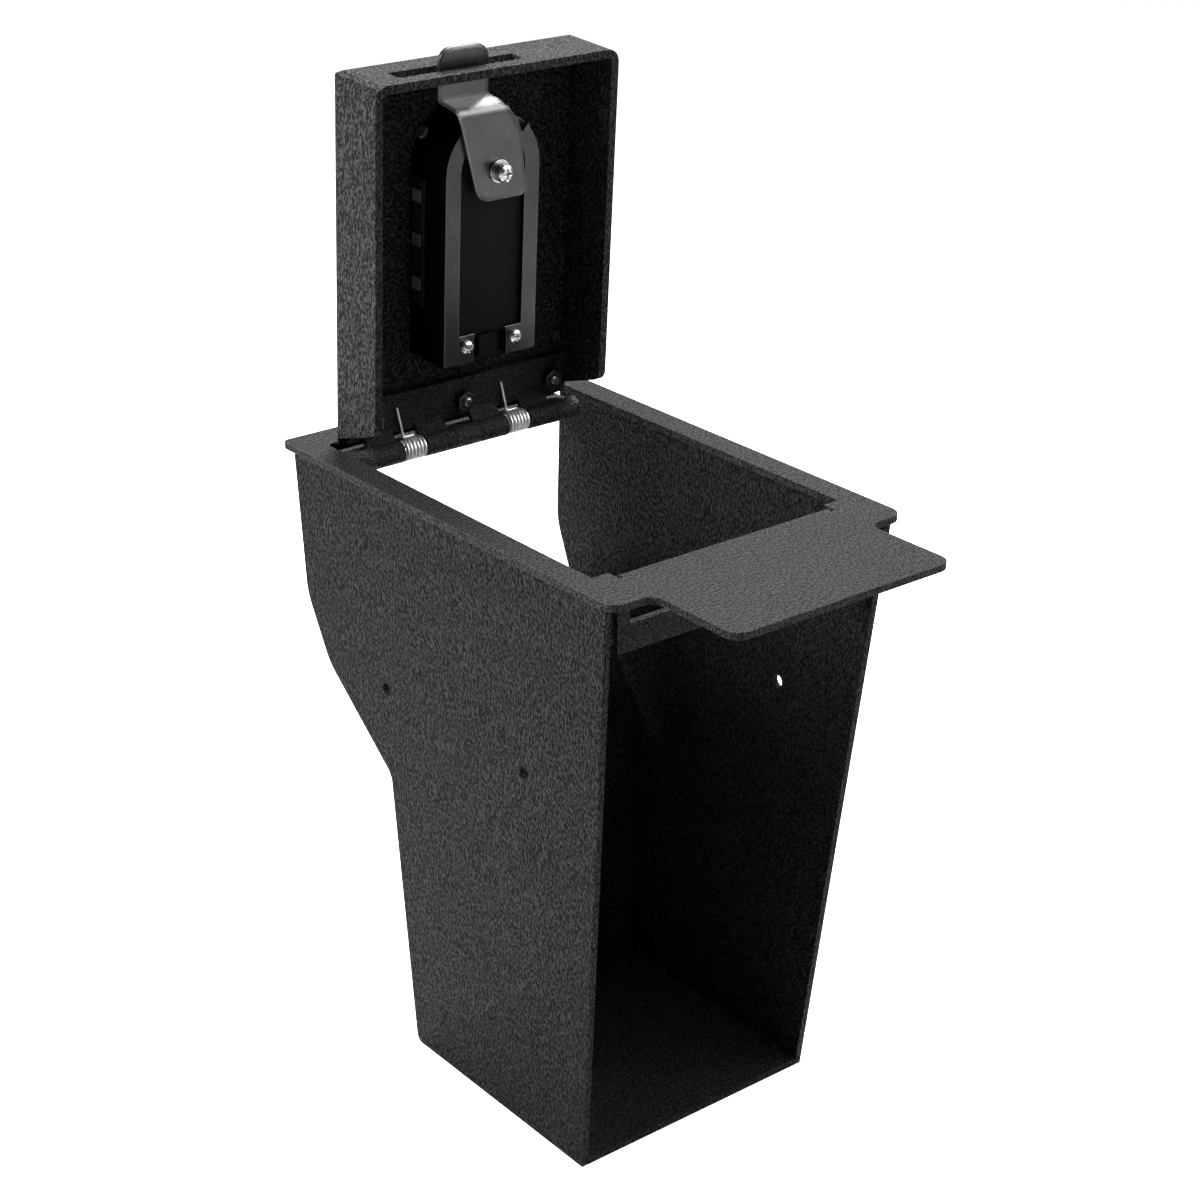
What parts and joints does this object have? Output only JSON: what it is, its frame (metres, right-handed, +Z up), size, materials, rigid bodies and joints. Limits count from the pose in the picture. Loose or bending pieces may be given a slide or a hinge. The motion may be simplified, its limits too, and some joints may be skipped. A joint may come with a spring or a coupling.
{
  "type": "console safe",
  "caption": "Open-top steel console safe that drops into a vehicle's centre bin, with a sprung lid, a combination cam lock and an inside light strip.",
  "frame": {"origin": "middle of the part's plan extent at the underside of its floor", "axes": "+Z up, +X to the right seen from the front, front and the rim's tongue towards -Y, hinge at the rear"},
  "size_m": [0.1364, 0.243, 0.3977],
  "materials": {
    "black_coat": "black textured powder coat",
    "hinge_black": "black satin finish on steel",
    "stainless": "brushed stainless",
    "bright_zinc": "bright zinc plate",
    "black_plastic": "moulded, fine matt",
    "dial_plastic": "smooth",
    "lamp_board": "printed board",
    "lamp_lens": "clear lens"
  },
  "bodies": {
    "base": {"rim_plate": "black_coat", "left_side_panel": "black_coat", "right_side_panel": "black_coat", "wrapper_sheet": "black_coat", "hinge_fixed_leaf": "hinge_black", "hinge_pin": "bright_zinc"},
    "lid": {"lid_pan": "black_coat", "hinge_lid_leaf": "hinge_black", "hinge_spring_left": "bright_zinc", "hinge_spring_right": "bright_zinc", "hinge_bolt_1": "bright_zinc", "hinge_bolt_2": "bright_zinc", "hinge_bolt_3": "bright_zinc", "hinge_nut_1": "bright_zinc", "hinge_nut_2": "bright_zinc", "hinge_nut_3": "bright_zinc", "lock_housing": "black_plastic", "dial_axle": "bright_zinc", "lock_frame": "stainless", "frame_screw_left": "bright_zinc", "frame_screw_right": "bright_zinc", "light_strip": "lamp_board", "lamp_1": "lamp_lens", "lamp_2": "lamp_lens", "lamp_3": "lamp_lens", "light_sensor": "lamp_lens"},
    "latch": {"turn_knob": "black_plastic", "latch_cam": "stainless", "cam_flat_washer": "bright_zinc", "cam_spring_washer": "bright_zinc", "cam_screw": "bright_zinc"},
    "dial_1": {"number_dial_1": "dial_plastic"},
    "dial_2": {"number_dial_2": "dial_plastic"},
    "dial_3": {"number_dial_3": "dial_plastic"},
    "dial_4": {"number_dial_4": "dial_plastic"},
    "lever": {"code_lever": "black_plastic"}
  },
  "joints": [
    {"name": "lid_hinge", "type": "hinge", "parent": "base", "child": "lid", "pos_m": [0, 0.0944, 0.241], "axis": [1, 0, 0], "range_deg": [0, 86.4], "stiffness_Nm_per_rad": 0.45, "springref_deg": -28.65, "deforming": ["hinge_spring_left", "hinge_spring_right"]},
    {"name": "cam_turn", "type": "hinge", "parent": "lid", "child": "latch", "pos_m": [0.001, 0.08745, 0.35148], "axis": [0, -0.998, -0.0628], "range_deg": [0, 90]},
    {"name": "dial_1_turn", "type": "hinge", "parent": "lid", "child": "dial_1", "pos_m": [0, 0.09835, 0.29135], "axis": [0, -0.0628, 0.998], "continuous": true},
    {"name": "dial_2_turn", "type": "hinge", "parent": "lid", "child": "dial_2", "pos_m": [0, 0.09759, 0.30332], "axis": [0, -0.0628, 0.998], "continuous": true},
    {"name": "dial_3_turn", "type": "hinge", "parent": "lid", "child": "dial_3", "pos_m": [0, 0.09684, 0.3153], "axis": [0, -0.0628, 0.998], "continuous": true},
    {"name": "dial_4_turn", "type": "hinge", "parent": "lid", "child": "dial_4", "pos_m": [0, 0.09609, 0.32728], "axis": [0, -0.0628, 0.998], "continuous": true},
    {"name": "lever_slide", "type": "slide", "parent": "lid", "child": "lever", "axis": [1, 0, 0], "range_m": [0, 0.0035]}
  ]
}
